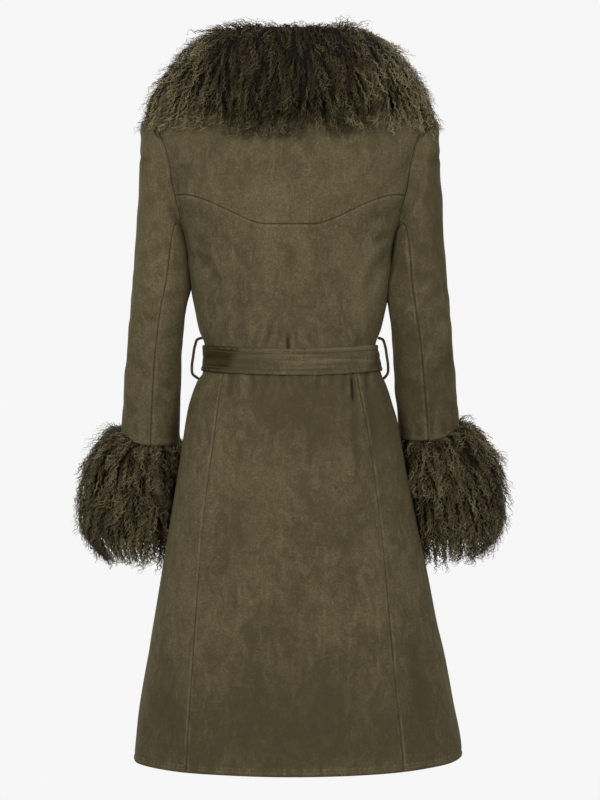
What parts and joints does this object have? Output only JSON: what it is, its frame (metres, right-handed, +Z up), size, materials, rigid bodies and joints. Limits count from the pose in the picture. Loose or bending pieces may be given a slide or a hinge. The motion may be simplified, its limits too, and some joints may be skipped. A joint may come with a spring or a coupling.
{
  "type": "long coat",
  "caption": "Hollow long coat of suede with a curly fur collar and fur cuffs, a curved back yoke, a flared skirt and a tied belt in side loops.",
  "frame": {"origin": "middle of the neck opening at the level of the nape, where the wearer's shoulders hold the coat", "axes": "+Z up, +X towards the wearer's left, -Y towards the front"},
  "size_m": [0.6927, 0.3514, 1.1621],
  "materials": {
    "suede": "napped suede, matt",
    "belt_suede": "napped suede, matt, topstitched",
    "fur": "long curly lamb fur"
  },
  "bodies": {
    "root": {"back_yoke": "suede", "back_bodice": "suede", "back_skirt": "suede", "side_skirt_left": "suede", "side_skirt_right": "suede", "front_bodice_left": "suede", "front_bodice_right": "suede", "front_skirt_left": "suede", "front_skirt_right": "suede", "left_top_sleeve_cap": "suede", "left_top_sleeve_middle": "suede", "left_top_sleeve_lower": "suede", "left_under_sleeve": "suede", "right_top_sleeve_cap": "suede", "right_top_sleeve_middle": "suede", "right_top_sleeve_lower": "suede", "right_under_sleeve": "suede", "fur_collar": "fur", "fur_cuff_left": "fur", "fur_cuff_right": "fur", "belt_band": "belt_suede", "belt_knot": "belt_suede", "belt_tail_left": "belt_suede", "belt_tail_right": "belt_suede", "belt_loop_left": "belt_suede", "belt_loop_right": "belt_suede"}
  },
  "joints": []
}
